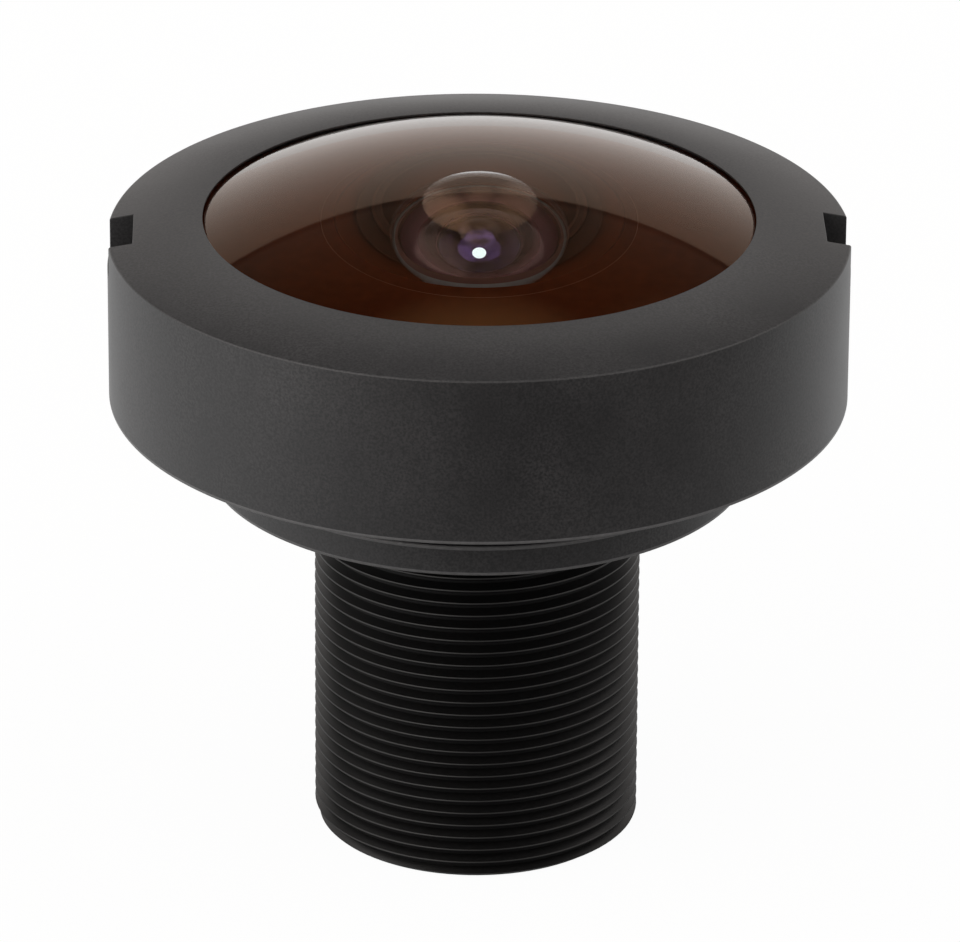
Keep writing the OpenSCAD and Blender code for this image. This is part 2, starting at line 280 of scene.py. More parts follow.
ring_black = blasted_anodised()
barrel_black = turned_anodised()
painted_edge_highlight = painted_highlight_anodised()
print("finishes:", ring_black.name, barrel_black.name, painted_edge_highlight.name)

# %% [markdown]
# ## Barrel
# The barrel is one turned piece: the tube, a thin flange, a neck, the head and, inside, the bores
# that hold the optics. Its outline runs once round the section, with each bore a clearance wider
# than what it holds. Where a thread is cut, the outline runs along the root of the thread, and the
# ridge is wound on afterwards. Two extra loops on the flange mark off the strips along its edges
# that get the painted highlight.

# %% Barrel
TUBE_R = 6.0
CELL_CLEAR = 0.03
EDGE_BREAK = 0.02
THREAD_PITCH = 0.5
THREAD_DEPTH = 0.6134 * THREAD_PITCH
FLANGE_R, FLANGE_Z, FLANGE_TOP, FLANGE_EDGE = 9.95, 14.1, 15.25, 0.05
HIGHLIGHT_W = 0.09
NECK_R, HEAD_Z = 9.0, 16.96
REAR_LIP_T, REAR_LIP_W = 0.6, 1.1
SEAL_SECTION_R, SEAL_GROOVE_W = 0.4, 0.95
HEAD_COLLAR, HEAD_CHAMFER, HEAD_RUNOUT = 0.3, 0.08, 0.18

head_r, _, face_z = span("barrel")
tube_root = TUBE_R - THREAD_DEPTH
head_root = head_r - THREAD_DEPTH
filter_r, filter_z, filter_top = span("ir_cut_filter")
inner_r = span("third_element")[0]
second_r, second_z, second_top = span("second_element")
retainer_r, retainer_z, _ = span("stack_retainer")
shield_z = span("light_shield")[1]
seal_r, seal_z, _ = span("o_ring_seal")
seal_mid = seal_r - SEAL_SECTION_R
rear_lip_r = inner_r + CELL_CLEAR - REAR_LIP_W

barrel_path = [
    (filter_r + CELL_CLEAR, 0), (tube_root, 0), (tube_root, FLANGE_Z),
    (FLANGE_R - FLANGE_EDGE, FLANGE_Z), (FLANGE_R, FLANGE_Z + FLANGE_EDGE),
    (FLANGE_R, FLANGE_Z + FLANGE_EDGE + HIGHLIGHT_W),
    (FLANGE_R, FLANGE_TOP - FLANGE_EDGE - HIGHLIGHT_W),
    (FLANGE_R, FLANGE_TOP - FLANGE_EDGE), (FLANGE_R - FLANGE_EDGE, FLANGE_TOP),
    (NECK_R, FLANGE_TOP), (NECK_R, HEAD_Z),
    (head_r - HEAD_CHAMFER, HEAD_Z), (head_r, HEAD_Z + HEAD_CHAMFER),
    (head_r, HEAD_Z + HEAD_COLLAR),
    (head_root, HEAD_Z + HEAD_COLLAR + HEAD_RUNOUT), (head_root, face_z),
    (seal_mid + SEAL_GROOVE_W / 2, face_z), (seal_mid + SEAL_GROOVE_W / 2, seal_z),
    (seal_mid - SEAL_GROOVE_W / 2, seal_z), (seal_mid - SEAL_GROOVE_W / 2, face_z),
    (second_r + CELL_CLEAR, face_z), (second_r + CELL_CLEAR, shield_z),
    (retainer_r + CELL_CLEAR, shield_z), (retainer_r + CELL_CLEAR, retainer_z),
    (inner_r + CELL_CLEAR, retainer_z), (inner_r + CELL_CLEAR, filter_top + REAR_LIP_T),
    (rear_lip_r, filter_top + REAR_LIP_T), (rear_lip_r, filter_top),
    (filter_r + CELL_CLEAR, filter_top), (filter_r + CELL_CLEAR, 0),
]
barrel_mesh = turn(barrel_path, soften=EDGE_BREAK)
for face in barrel_mesh.faces:
    middle = face.calc_center_median() / MM
    out = middle.xy.length
    on_flange = out > TUBE_R and middle.z < HEAD_Z + HEAD_COLLAR
    from_edge = min(middle.z - FLANGE_Z, FLANGE_TOP - middle.z)
    # Strips along both edges of the flange get the painted highlight.
    pale_band = out > FLANGE_R - FLANGE_EDGE and 0 < from_edge < FLANGE_EDGE + HIGHLIGHT_W
    face.material_index = 2 if pale_band else 1 if on_flange else 0
barrel = keep(
    barrel_mesh, "turned_barrel", "lens_body",
    [barrel_black, ring_black, painted_edge_highlight])
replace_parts(barrel, "barrel")

# %% [markdown]
# ## Threads
# The mounting thread is M12 with a pitch of 0.5 mm, and the head carries the same pitch for the
# ring. A thread is a spin that also climbs: the ridge's section, a blunt 60 degree tooth, is spun
# in small steps while it moves up one pitch, and that turn is copied up. The crest is a low roof,
# as wear and anodising leave it, and its upper side catches a line of light. A plane then cuts the
# ridge level, and the chamfer at the end presses in the crests that stand outside it. A bump map
# could fake the lines from one side only, and it would leave the outline smooth.

# %% Threads
STEPS_PER_TURN = 96
FLANK_ANGLE = math.radians(30)
CREST_ROUND = 0.013


def wind_thread(base_r, crest_r, start_z, turns):
    """Winds one right-hand thread ridge from its root to its crest, and caps both ends."""
    half_crest = THREAD_PITCH / 16
    half_base = half_crest + abs(crest_r - base_r) * math.tan(FLANK_ANGLE)
    shoulder_r = crest_r + math.copysign(CREST_ROUND, base_r - crest_r)
    section = [
        (base_r, -half_base), (shoulder_r, -half_crest), (crest_r, 0),
        (shoulder_r, half_crest), (base_r, half_base),
    ]
    bm = bmesh.new()
    corners = [bm.verts.new((r * MM, 0, (start_z + z) * MM)) for r, z in section]
    sides = [bm.edges.new((corners[i - 1], corners[i])) for i in range(len(corners))]
    bmesh.ops.spin(
        bm, geom=corners + sides, cent=(0, 0, 0), axis=(0, 0, 1), angle=2 * math.pi,
        steps=STEPS_PER_TURN, dvec=(0, 0, THREAD_PITCH * MM / STEPS_PER_TURN),
    )
    first_turn = bm.verts[:] + bm.edges[:] + bm.faces[:]
    for turn_no in range(1, turns):
        copy = bmesh.ops.duplicate(bm, geom=first_turn)["geom"]
        bmesh.ops.translate(
            bm, verts=[v for v in copy if isinstance(v, bmesh.types.BMVert)],
            vec=(0, 0, THREAD_PITCH * turn_no * MM))
    bmesh.ops.remove_doubles(bm, verts=bm.verts, dist=WELD)
    close_ends(bm)
    bmesh.ops.recalc_face_normals(bm, faces=bm.faces)
    return bm


def close_ends(bm):
    """Fills every open end of a ridge."""
    bmesh.ops.holes_fill(bm, edges=[e for e in bm.edges if e.is_boundary], sides=0)


def cut_level(bm, z, outwards):
    """Cuts a ridge level at a height and removes what lies beyond it."""
    bmesh.ops.bisect_plane(
        bm, geom=bm.verts[:] + bm.edges[:] + bm.faces[:], dist=1e-8,
        plane_co=(0, 0, z * MM), plane_no=(0, 0, outwards), clear_outer=True,
    )
    close_ends(bm)


def press_to_chamfer(bm, end_r, end_z, inwards):
    """Presses crests in to a 45 degree chamfer that starts at a radius and height."""
    for v in bm.verts:
        r = math.hypot(v.co.x, v.co.y)
        limit = end_r * MM + (v.co.z - end_z * MM) * inwards
        if r > limit:
            v.co.x *= limit / r
            v.co.y *= limit / r


SINK = 0.02
TUBE_END_CHAMFER, HEAD_END_CHAMFER = 0.2, 0.25
HEAD_THREAD_START = 0.3

mount_turns = math.ceil(FLANGE_Z / THREAD_PITCH) + 2
mount_ridge = wind_thread(tube_root - SINK, TUBE_R, -1.5 * THREAD_PITCH, mount_turns)
press_to_chamfer(mount_ridge, TUBE_R - TUBE_END_CHAMFER, 0, 1)
cut_level(mount_ridge, 0, -1)
keep(mount_ridge, "mounting_thread", "lens_body", [barrel_black])

head_thread_z = HEAD_Z + HEAD_COLLAR + HEAD_THREAD_START
head_turns = (face_z - head_thread_z) / THREAD_PITCH
head_ridge = wind_thread(head_root - SINK, head_r, head_thread_z, math.ceil(head_turns))
press_to_chamfer(head_ridge, head_r - HEAD_END_CHAMFER, face_z, -1)
cut_level(head_ridge, face_z, 1)
keep(head_ridge, "head_thread", "lens_body", [barrel_black])

# %% [markdown]
# ## Front ring
# The ring screws over the head and holds the glass down by its ground step. It is turned too, and
# its lower edge gets the same painted highlight as the flange's. Its lip follows the dome at an
# even gap, so the underside of the lip is an arc round the dome's own centre.

# %% Front ring
RING_CLEAR = 0.05
RING_WALL, RING_CHAMFER, RING_HEAD_GAP = 1.25, 0.05, 0.15
GLASS_STEP_W = 0.9
LIP_COVER, LIP_GAP, FACE_RISE = 0.26, 0.06, 0.63
DOME_R = 23.5

ring_r, ring_z, opening_z = span("front_ring")
front_r, _, apex_z = span("front_element")
clamp_z = span("slip_washer")[2]
dome_z = apex_z - DOME_R
ring_bore = ring_r - RING_WALL
rim_r = front_r - GLASS_STEP_W
opening_r = rim_r - LIP_COVER
ring_top = opening_z - FACE_RISE


def above_dome(r):
    """Height of the lip's underside at a radius, an even gap above the dome."""
    return dome_z + math.sqrt((DOME_R + LIP_GAP) ** 2 - r * r)


ring_path = [
    (ring_bore, ring_z), (ring_r - RING_CHAMFER, ring_z), (ring_r, ring_z + RING_CHAMFER),
    (ring_r, ring_z + RING_CHAMFER + HIGHLIGHT_W),
    (ring_r, ring_top - RING_CHAMFER), (ring_r - RING_CHAMFER, ring_top),
    (opening_r, opening_z), (opening_r, above_dome(opening_r)),
    (rim_r + RING_CLEAR, above_dome(rim_r + RING_CLEAR), dome_z), (rim_r + RING_CLEAR, clamp_z),
    (front_r + RING_CLEAR, clamp_z), (front_r + RING_CLEAR, face_z + RING_HEAD_GAP),
    (ring_bore, face_z + RING_HEAD_GAP), (ring_bore, ring_z),
]
ring_mesh = turn(ring_path, segments=256, soften=EDGE_BREAK)
for face in ring_mesh.faces:
    middle = face.calc_center_median() / MM
    from_edge = middle.z - ring_z
    # The ring's lower edge gets the painted highlight.
    pale_band = middle.xy.length > ring_r - RING_CHAMFER and 0 < from_edge < RING_CHAMFER + HIGHLIGHT_W
    face.material_index = 1 if pale_band else 0
ring = keep(
    ring_mesh, "front_ring_notched", "front_ring", [ring_black, painted_edge_highlight])
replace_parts(ring, "front_ring")

# %% [markdown]
# ## Spanner notches
# Two slots for a spanner are milled across the ring's edge, so that it can be screwed tight. They
# are cut with a Boolean, because their walls are flat and meet the round face at any angle, and the
# cut is applied at once, so the piece stays a plain mesh. The new edges are then broken, and they
# shade as sharp edges, or the large faces beside them would look dented.

# %% Spanner notches
NOTCH_W, NOTCH_DEPTH, NOTCH_H = 2.7, 0.94, 1.2
NOTCH_BREAK, NOTCH_MARGIN, NOTCH_REACH = 0.025, 0.01, 0.06
NOTCH_SHARP = math.radians(8)
CUTTER = 3.0

cutter_mesh = bmesh.new()
for side in (1, -1):
    cutter_x = side * (ring_r - NOTCH_DEPTH + CUTTER / 2)
    cutter_z = ring_top - NOTCH_H + CUTTER / 2
    bmesh.ops.create_cube(cutter_mesh, size=MM, matrix=(
        Matrix.Translation(Vector((cutter_x, 0, cutter_z)) * MM)
        @ Matrix.Diagonal((CUTTER, NOTCH_W, CUTTER, 1))
    ))
cutter_data = bpy.data.meshes.new("cutter")
cutter_mesh.to_mesh(cutter_data)
cutter_mesh.free()
cutter = bpy.data.objects.new("cutter", cutter_data)
bpy.context.scene.collection.objects.link(cutter)
milling = ring.modifiers.new("milling", "BOOLEAN")
milling.object = cutter
milling.operation = "DIFFERENCE"
milling.solver = "EXACT"
milled = bpy.data.meshes.new_from_object(ring.evaluated_get(bpy.context.evaluated_depsgraph_get()))
ring.modifiers.clear()
ring.data = milled
bpy.data.objects.remove(cutter)


def at_notch(edge, margin):
    """True where an edge lies in one of the two notches, or within a margin of it."""
    return all(abs(v.co.x) > (ring_r - NOTCH_DEPTH - margin) * MM
               and abs(v.co.y) < (NOTCH_W / 2 + margin) * MM
               and v.co.z > (ring_top - NOTCH_H - margin) * MM for v in edge.verts)


notched = bmesh.new()
notched.from_mesh(milled)
notch_edges = [edge for edge in notched.edges if at_notch(edge, NOTCH_MARGIN)]
soften_edges(notched, notch_edges, NOTCH_BREAK)
for edge in notched.edges:
    sharp_from = NOTCH_SHARP if at_notch(edge, NOTCH_REACH) else SHARP
    edge.smooth = len(edge.link_faces) == 2 and edge.calc_face_angle() <= sharp_from
notched.to_mesh(milled)
notched.free()
print("ring after milling:", len(milled.polygons), "faces")

# %% [markdown]
# ## Thread inside the ring
# The ring carries the same thread form inside, half a pitch away from the head's, so that the two
# mesh as the ring turns. It stops short of the head's root by a little play.

# %% Thread inside the ring
THREAD_PLAY = 0.07

ring_ridge = wind_thread(
    ring_bore + SINK, head_root + THREAD_PLAY, head_thread_z + THREAD_PITCH / 2,
    math.floor(head_turns) - 1)
keep(ring_ridge, "ring_thread", "front_ring", [ring_black])

# %% [markdown]
# ## Optical glass
# Polished glass is clear: what the eye gets is the light it bends and the faint colour of its
# coating. Principled transmission with the glass's own index does the bending. A coating cuts the
# mirror reflection of some colours more than others, so the specular tint has the colour of what is
# left: amber on the dome, pale pink and purple on the two elements behind it, and nearly nothing
# further in. Ground edges and backs are lacquered, dark red-brown where they are seen through the
# glass and paler in a few thin lines. One seat was left bare, as the wheel ground it, and its pale
# pink is partly painted haze.

# %% Optical glass
def coated_glass(name, index, glance, tint):
    """Polished glass of one refractive index, with a coating of a given strength and colour."""
    return start_finish(name, {
        "Base Color": colour("#ffffff"), "Transmission Weight": 1.0, "Roughness": 0.0,
        "IOR": index, "Specular IOR Level": glance, "Specular Tint": colour(tint)})[0]


def edge_lacquer(name, thick, thin):
    """Blackening lacquer seen through the glass, red-brown where it is thin, with brush marks about
    0.4 mm wide. It wets the glass, so it has no shine of its own."""
    material, tree, shader, place = start_finish(
        name, {"IOR": 1.5, "Specular IOR Level": 0.0, "Roughness": 0.6})
    strokes = add(tree, "TexNoise", inputs={"Vector": place, "Scale": per_mm(0.4), "Detail": 3.0})
    shade = add(tree, "Mix", {"data_type": "RGBA"}, {
        "Factor": strokes.outputs["Fac"], "A": colour(thick), "B": colour(thin)})
    tree.links.new(shade.outputs["Result"], shader.inputs["Base Color"])
    return material


def ground_glass():
    """Glass left matt by the grinding wheel, with a grain of about 0.05 mm. It is seen through two
    coatings, and its dull pink is painted haze, standing in for their coloured reflections."""
    material, tree, shader, place = start_finish("ground_glass_painted_haze", {"IOR": 1.6})
    grit = add(tree, "TexNoise", inputs={"Vector": place, "Scale": per_mm(0.05), "Detail": 1.0})
    shade = add(tree, "Mix", {"data_type": "RGBA"}, {
        "Factor": grit.outputs["Fac"], "A": colour("#a85f5c"), "B": colour("#bc706c")})
    tree.links.new(shade.outputs["Result"], shader.inputs["Base Color"])
    return material


front_glass = coated_glass("lanthanum_glass_front", 1.7725, 0.5, "#e8a040")
hollow_glass = coated_glass("lanthanum_glass_hollow", 1.7725, 0.5, "#e8ad82")
second_glass = coated_glass("optical_glass_second", 1.53, 0.5, "#f0b8a4")
third_glass = coated_glass("optical_glass_third", 1.85, 0.5, "#c890e0")
crown_glass = coated_glass("crown_glass", 1.62, 0.05, "#303844")
flint_glass = coated_glass("flint_glass", 1.85, 0.05, "#303844")
filter_glass = coated_glass("filter_glass_coated", 1.52, 0.1, "#442c2c")
lacquer = edge_lacquer("blackening_lacquer_brushed", "#4d200f", "#5f2a15")
pale_lacquer = edge_lacquer("blackening_lacquer_pale", "#7d4f3b", "#93614b")
ground = ground_glass()
print("glass:", [m.name for m in (
    front_glass, hollow_glass, second_glass, third_glass, crown_glass, flint_glass, filter_glass)])
print("ground faces:", [m.name for m in (lacquer, pale_lacquer, ground)])

# %% [markdown]
# ## Front element
# The large dome is a deep meniscus: a weak outer curve, and a hollow behind that is almost half a
# ball. The hollow is what shows as a clear bubble in the middle. Polished faces lie on their
# spheres, so every face of the mesh whose corners all lie on one of the two spheres stays clear,
# and the rest is ground and lacquered. The lacquer is paler in a hairline where the bevel round the
# hollow meets the back, and on the outer edge. The back stands a hair, 4 thousandths of a
# millimetre, off the barrel's face, or the two would show in one place.

# %% Front element
HAIR = 0.004
HOLLOW_RIM, HOLLOW_DEPTH = 4.575, 3.49
HOLLOW_BEVEL_W, HOLLOW_BEVEL_H = 0.38, 0.2
BACK_CHAMFER = 0.2
PALE_LINE_W = 0.012
ON_SPHERE = 1e-6


def sphere_centre(rim, depth, top):
    """Radius of a hollow, and the height of its centre, from its rim, its depth and its top."""
    radius = (rim * rim + depth * depth) / (2 * depth)
    return radius, top - radius


def lies_on(face, radius, centre):
    """True where all corners of a face lie on a sphere on the axis."""
    middle = Vector((0, 0, centre * MM))
    return all(abs((v.co - middle).length - radius * MM) < ON_SPHERE for v in face.verts)


def paint_ground_faces(bm, spheres):
    """Gives lacquer, the second material, to every face that isn't part of a polished sphere."""
    for face in bm.faces:
        face.material_index = 0 if any(lies_on(face, *sphere) for sphere in spheres) else 1


back_z = face_z + HAIR
hollow_rim_z = face_z + HOLLOW_BEVEL_H
hollow_r, hollow_z = sphere_centre(HOLLOW_RIM, HOLLOW_DEPTH, hollow_rim_z + HOLLOW_DEPTH)
bevel_r = HOLLOW_RIM + HOLLOW_BEVEL_W
rim_top = dome_z + math.sqrt(DOME_R ** 2 - rim_r ** 2)
rim_z = span("slip_washer")[1]
front_path = [
    (0, apex_z), (rim_r, rim_top, dome_z), (rim_r, rim_z), (front_r, rim_z),
    (front_r, face_z + BACK_CHAMFER), (front_r - BACK_CHAMFER, back_z), (bevel_r, back_z),
    (bevel_r - PALE_LINE_W, back_z + PALE_LINE_W * HOLLOW_BEVEL_H / HOLLOW_BEVEL_W),
    (HOLLOW_RIM, hollow_rim_z), (0, hollow_z + hollow_r, hollow_z),
]
front_mesh = turn(front_path, segments=256)
paint_ground_faces(front_mesh, [(DOME_R, dome_z), (hollow_r, hollow_z)])
for face in front_mesh.faces:
    out = face.calc_center_median().xy.length / MM
    paler = bevel_r - PALE_LINE_W < out < bevel_r or out > rim_r - PALE_LINE_W
    if face.material_index == 1 and paler:
        face.material_index = 2
    elif lies_on(face, hollow_r, hollow_z):
        face.material_index = 3
front = keep(
    front_mesh, "front_dome", "lens_body",
    [front_glass, lacquer, pale_lacquer, hollow_glass])
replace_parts(front, "front_element")

# %% [markdown]
# ## Inner elements
# Behind the dome stand a second meniscus and five more elements, two of them cemented. Each is
# turned from its own radii, given here in mm for the front and the back, between the heights of
# its solid. Each has a small bevel at the edge, and its ground edge is lacquered. The cemented pair
# keeps a hair of air between, too thin to bend light, so that each glass stays a closed shell.

# %% Inner elements
EDGE_BEVEL = 0.1


def drop(radius, r):
    """Depth of a spherical face at a distance from the axis."""
    return radius - math.sqrt(radius * radius - r * r)


def bulging(node, name, front_radius, back_radius, glass, raise_by=0.0):
    """An element that bulges on both faces, between the heights of its solid."""
    r, bottom, top = span(node)
    bottom += raise_by
    edge = r - EDGE_BEVEL
    path = [
        (0, top), (edge, top - drop(front_radius, edge), top - front_radius),
        (r, top - drop(front_radius, r) - EDGE_BEVEL),
        (r, bottom + drop(back_radius, r) + EDGE_BEVEL),
        (edge, bottom + drop(back_radius, edge)), (0, bottom, bottom + back_radius),
    ]
    bm = turn(path)
    paint_ground_faces(bm, [
        (front_radius, top - front_radius), (back_radius, bottom + back_radius)])
    piece = keep(bm, name, "lens_body", [glass, lacquer])
    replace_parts(piece, node)


bulging("third_element", "third_glass", 11.7, 6.8, third_glass)
bulging("fourth_element", "fourth_glass", 20, 16, crown_glass)
bulging("doublet_crown", "doublet_front_glass", 11, 8, crown_glass, raise_by=HAIR)
bulging("rear_element", "rear_glass", 9, 24, crown_glass)

# %% [markdown]
# ## Second element
# The second element is a meniscus too, with its own hollow at the back. The flat ring round that
# hollow is the seat it rests on. It was left as ground, and its pale pink is partly painted haze,
# standing in for the haze of reflections between the coatings; it shows as a paler ring low in the
# bubble.

# %% Second element
SECOND_FRONT_R, SECOND_RIM, SECOND_DEPTH, SECOND_T = 12.5, 3.2, 2.21, 1.0
LEVEL = 0.001

second_front_z = second_top - SECOND_FRONT_R
second_hollow_top = second_top - SECOND_T
second_hollow_r, second_hollow_z = sphere_centre(SECOND_RIM, SECOND_DEPTH, second_hollow_top)
second_edge = second_r - EDGE_BEVEL
second_path = [
    (0, second_top),
    (second_edge, second_top - drop(SECOND_FRONT_R, second_edge), second_front_z),
    (second_r, second_top - drop(SECOND_FRONT_R, second_r) - EDGE_BEVEL),
    (second_r, second_z + EDGE_BEVEL), (second_edge, second_z),
    (SECOND_RIM, second_z), (0, second_hollow_top, second_hollow_z),
]
second_mesh = turn(second_path)
paint_ground_faces(second_mesh, [
    (SECOND_FRONT_R, second_front_z), (second_hollow_r, second_hollow_z)])
for face in second_mesh.faces:
    middle = face.calc_center_median() / MM
    # The ground seat, whose pale pink is partly painted haze.
    if middle.xy.length < second_edge and abs(middle.z - second_z) < LEVEL:
        face.material_index = 2
second = keep(
    second_mesh, "second_meniscus", "lens_body", [second_glass, lacquer, ground])
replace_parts(second, "second_element")

# %% [markdown]
# ## Rear half of the cemented pair
# The flint glass of the pair is hollow in front, on the radius of the crown's back, and bulges
# behind. Crown and flint are ground to one radius and cemented, and together they bend all colours
# to nearly the same place.

# %% Rear half of the cemented pair
FLINT_BACK_R, CEMENT_R, FLINT_T = 20, 8, 0.8

_, flint_z, _ = span("doublet_flint")
cement_z = flint_z + FLINT_T
flint_edge = inner_r - EDGE_BEVEL
flint_path = [
    (0, cement_z), (flint_edge, cement_z + drop(CEMENT_R, flint_edge), cement_z + CEMENT_R),
    (inner_r, cement_z + drop(CEMENT_R, flint_edge) - EDGE_BEVEL),
    (inner_r, flint_z + drop(FLINT_BACK_R, inner_r) + EDGE_BEVEL),
    (flint_edge, flint_z + drop(FLINT_BACK_R, flint_edge)), (0, flint_z, flint_z + FLINT_BACK_R),
]
flint_mesh = turn(flint_path)
paint_ground_faces(flint_mesh, [
    (CEMENT_R, cement_z + CEMENT_R), (FLINT_BACK_R, flint_z + FLINT_BACK_R)])
flint = keep(flint_mesh, "doublet_rear_glass", "lens_body", [flint_glass, lacquer])
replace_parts(flint, "doublet_flint")

# %% [markdown]
# ## Infrared filter
# A flat disc of coated glass closes the rear end and keeps infrared light off the sensor. It is
# bonded in from behind, and it stays a hair off the lip that it rests on.

# %% Infrared filter
FILTER_BEVEL = 0.06

filter_path = [
    (0, filter_top - HAIR), (filter_r - FILTER_BEVEL, filter_top - HAIR),
    (filter_r, filter_top - FILTER_BEVEL), (filter_r, filter_z + FILTER_BEVEL),
    (filter_r - FILTER_BEVEL, filter_z), (0, filter_z),
]
ir_filter = keep(turn(filter_path), "infrared_filter", "lens_body", [filter_glass])
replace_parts(ir_filter, "ir_cut_filter")

# %% [markdown]
# ## Spacers, stop and shields
# Between the glass stand blackened brass spacers, a thin aperture plate and a light shield. All are
# turned rings with broken edges, blackened matt so that no stray light gets through. Each follows
# the box of its solid and only needs its bore. The light shield stays a hair below the second
# element, or its black would show through the ground seat in patches.

# %% Blackened brass and thin sheet
def blackened(name, dark, light, grain):
    """Chemically blackened metal: matt and slightly blotchy, with blotches of the given size."""
    material, tree, shader, place = start_finish(name, {"IOR": 1.5, "Metallic": 0.0})
    blotch = add(tree, "TexNoise", inputs={"Vector": place, "Scale": per_mm(grain), "Detail": 4.0})
    shade = add(tree, "Mix", {"data_type": "RGBA"}, {
        "Factor": blotch.outputs["Fac"], "A": colour(dark), "B": colour(light)})
    dull = add(tree, "MapRange", inputs={
        "Value": blotch.outputs["Fac"], "To Min": 0.55, "To Max": 0.75})
    tree.links.new(shade.outputs["Result"], shader.inputs["Base Color"])
    tree.links.new(dull.outputs["Result"], shader.inputs["Roughness"])
    return material


brass_black = blackened("brass_blackened", "#0d0c0b", "#1a1714", 0.5)
# Painted haze: the brown on the front spacer's bore stands in for reflections inside the lens.
brass_haze_brown = blackened("brass_browned_painted_haze", "#4e2414", "#6a3620", 0.3)
brass_pale = blackened("brass_pale", "#6e635b", "#8a7f75", 0.3)
sheet_black = blackened("steel_sheet_blackened", "#0b0b0c", "#151516", 0.3)
print("finishes:", brass_black.name, brass_haze_brown.name, brass_pale.name, sheet_black.name)

# %% Turned rings
SEAT_W, APERTURE_R, TUBE_CONE = 0.9, 0.45, 2.2
RING_BREAK = 0.03


def turned_ring(node, name, bore, material, top_bore=None, lower=0.0):
    """A ring between the heights of its solid, with broken edges and a straight or tapered bore."""
    r, bottom, top = span(node)
    top -= lower
    wide = bore if top_bore is None else top_bore
    path = [(bore, bottom), (r, bottom), (r, top), (wide, top), (bore, bottom)]
    bm = turn(path, soften=min(RING_BREAK, (top - bottom) / 4))
    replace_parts(keep(bm, name, "lens_body", [material]), node)


seat_r = inner_r - SEAT_W
turned_ring("light_shield", "second_shield", SECOND_RIM, sheet_black, lower=HAIR)
turned_ring("aperture_stop", "aperture_plate", APERTURE_R, sheet_black)
turned_ring("stop_spacer", "aperture_spacer", seat_r, brass_black)
turned_ring("stop_tube", "aperture_tube", seat_r, brass_black,
            top_bore=inner_r - TUBE_CONE)
turned_ring("mid_spacer", "middle_spacer", seat_r, brass_black)
turned_ring("rear_spacer", "rear_spacer_ring", seat_r, brass_black)

# %% [markdown]
# ## Front spacer
# The front spacer is the one that shows: a pale band on its top is the rim round the bubble, and
# its bore is brown inside it, a painted haze that stands in for the glow of reflections in the
# bubble. So its top gets a loop where the pale band starts, and its faces get three finishes. It
# stays a hair below the glass.

# %% Front spacer
SPACER_BORE, SPACER_PALE_R, SPACER_BAND = 4.205, 4.43, 0.1

spacer_r, spacer_z, spacer_top = span("front_spacer")
spacer_mesh = turn([
    (SPACER_BORE, spacer_z), (spacer_r, spacer_z), (spacer_r, spacer_top - HAIR),
    (SPACER_PALE_R, spacer_top - HAIR), (SPACER_BORE, spacer_top - HAIR), (SPACER_BORE, spacer_z),
])
for face in spacer_mesh.faces:
    middle = face.calc_center_median() / MM
    # A pale band on the outer part of the top.
    pale_band = middle.xy.length > SPACER_PALE_R and middle.z > spacer_top - SPACER_BAND
    # The bore and the inner part of the top get the brown of the painted haze.
    inner = middle.xy.length < SPACER_PALE_R and middle.z > spacer_z + SPACER_BAND
    face.material_index = 2 if pale_band else 1 if inner else 0
front_spacer = keep(
    spacer_mesh, "first_spacer", "lens_body",
    [brass_black, brass_haze_brown, brass_pale])
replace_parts(front_spacer, "front_spacer")

# %% [markdown]
# ## Carried-over pieces
# The seal, the washer and the retainer are hidden behind the ring and the glass. Their solids
# already have the right form, so they keep their meshes and only get a finish.

# %% Carried-over pieces
def moulded_rubber():
    """Nitrile rubber from a mould, with a fine matt skin of about 0.1 mm."""
    material, tree, shader, place = start_finish(
        "nitrile_rubber_moulded", {"IOR": 1.52, "Roughness": 0.7})
    skin = add(tree, "TexNoise", inputs={"Vector": place, "Scale": per_mm(0.1), "Detail": 2.0})
    shade = add(tree, "Mix", {"data_type": "RGBA"}, {
        "Factor": skin.outputs["Fac"], "A": colour("#0c0c0c"), "B": colour("#161616")})
    tree.links.new(shade.outputs["Result"], shader.inputs["Base Color"])
    return material


def polyester_film():
    """Black polyester film from a roll, with a shine that changes every 0.2 mm or so."""
    material, tree, shader, place = start_finish("polyester_film_black", {"IOR": 1.6})
    streak = add(tree, "TexNoise", inputs={"Vector": place, "Scale": per_mm(0.2), "Detail": 1.0})
    shine = add(tree, "MapRange", inputs={
        "Value": streak.outputs["Fac"], "To Min": 0.25, "To Max": 0.4})
    shade = add(tree, "Mix", {"data_type": "RGBA"}, {
        "Factor": streak.outputs["Fac"], "A": colour("#141414"), "B": colour("#1d1d1d")})
    tree.links.new(shade.outputs["Result"], shader.inputs["Base Color"])
    tree.links.new(shine.outputs["Result"], shader.inputs["Roughness"])
    return material


carried = {
    "o_ring_seal": moulded_rubber(),
    "slip_washer": polyester_film(),
    "stack_retainer": brass_black,
}
for node, material in carried.items():
    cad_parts[node].data.materials.clear()
    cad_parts[node].data.materials.append(material)
print("carried over:", list(carried))

# %% [markdown]
# ## Studio
# The lens stands on white, in front of a white backdrop that hangs from a bar some way up, and the
# room above is dark. The dome shows all of that: white from behind in its far half, a clear edge
# with a thin dark line where the backdrop stops, and a faint spill of light beyond. The world draws
# that room by direction, with plain soft boxes above, to the left, to the right and over the
# camera. To the camera itself it is plain white.

# %% World
EDGE_SLOPE, EDGE_BOW = 0.722, 0.075
CLOTH_LEVEL, CLOTH_GAIN, CLOTH_CURVE = 0.4, 0.4, 0.5
SPILL_LEVEL, BAR_SHADE = 0.14, 0.58

